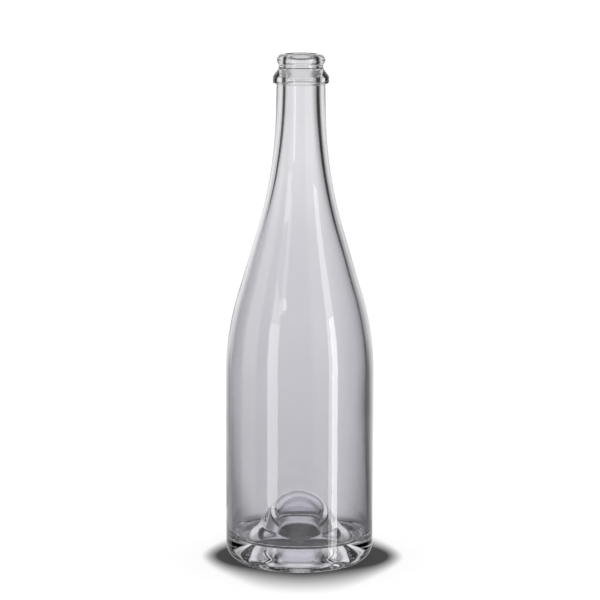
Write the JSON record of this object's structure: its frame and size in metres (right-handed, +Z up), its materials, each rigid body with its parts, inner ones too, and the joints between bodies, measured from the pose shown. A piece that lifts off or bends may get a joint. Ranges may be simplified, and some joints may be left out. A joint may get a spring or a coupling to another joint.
{
  "type": "champagne bottle",
  "caption": "Empty clear glass bottle for sparkling wine: sloping shoulders, crown bead and wire collar at the mouth, deep domed punt in its foot.",
  "frame": {"origin": "centre of the foot, on the plane that the bottle stands on", "axes": "+Z up along the bottle's axis, foot to mouth; the bottle is the same all round"},
  "size_m": [0.087, 0.087, 0.3],
  "materials": {
    "glass": "clear, faintly grey, fire-polished"
  },
  "bodies": {
    "root": {"bottle": "glass"}
  },
  "joints": []
}
